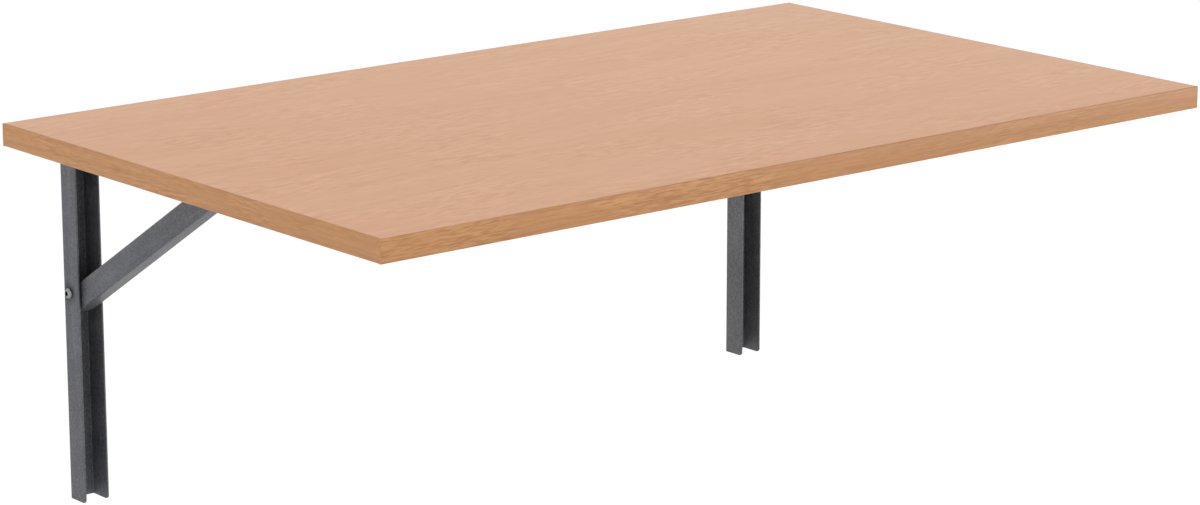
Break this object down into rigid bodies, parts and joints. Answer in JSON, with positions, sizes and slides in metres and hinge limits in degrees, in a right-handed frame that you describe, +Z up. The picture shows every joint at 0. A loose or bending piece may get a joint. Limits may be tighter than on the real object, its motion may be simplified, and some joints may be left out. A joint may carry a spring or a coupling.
{
  "type": "wall mounted drop leaf table",
  "caption": "Rectangular laminated leaf on a pair of nested steel channel brackets that screw to a wall, hook up level and fold down flat.",
  "frame": {"origin": "middle of the rectangle of outer wall screw holes, on the wall plane", "axes": "+X along the wall to the right as a person facing the wall sees it, +Y into the wall, +Z up"},
  "size_m": [1, 0.601, 0.382],
  "materials": {
    "beech_laminate": "beech pattern melamine laminate on chipboard, fine pore texture, satin",
    "beech_edge": "2 mm edge banding in a beech print, satin",
    "powder_coat": "dark grey metallic powder coat, satin, with a fine texture",
    "zinc": "bright zinc plate",
    "raw_rivet": "steel rivet under the same powder coat, worn bright where it turns"
  },
  "bodies": {
    "wall_frame": {"left_upright": "powder_coat", "right_upright": "powder_coat", "hinge_bolts": "zinc", "hinge_sleeves": "zinc", "hinge_nuts": "zinc", "hook_bolts": "zinc", "hook_sleeves": "zinc", "hook_nuts": "zinc"},
    "leaf": {"tabletop_board": "beech_laminate", "front_edge_band": "beech_edge", "rear_edge_band": "beech_edge", "left_edge_band": "beech_edge", "left_arm": "powder_coat", "left_strut_pin": "raw_rivet", "left_arm_screws": "zinc", "right_edge_band": "beech_edge", "right_arm": "powder_coat", "right_strut_pin": "raw_rivet", "right_arm_screws": "zinc"},
    "left_brace": {"left_strut": "powder_coat"},
    "right_brace": {"right_strut": "powder_coat"}
  },
  "joints": [
    {"name": "leaf_fold", "type": "hinge", "parent": "wall_frame", "child": "leaf", "pos_m": [0, -0.01475, 0.17775], "axis": [1, 0, 0], "range_deg": [0, 90]},
    {"name": "left_strut_swing", "type": "hinge", "parent": "leaf", "child": "left_brace", "pos_m": [-0.425, -0.26747, 0.1845], "axis": [-1, 0, 0], "range_deg": [0, 148.25]},
    {"name": "right_strut_swing", "type": "hinge", "parent": "leaf", "child": "right_brace", "pos_m": [0.425, -0.26747, 0.1845], "axis": [-1, 0, 0], "range_deg": [0, 148.25]}
  ],
  "couplings": [
    {"joint": "left_strut_swing", "follows": "leaf_fold", "ratio": 1.6472},
    {"joint": "right_strut_swing", "follows": "leaf_fold", "ratio": 1.6472}
  ]
}
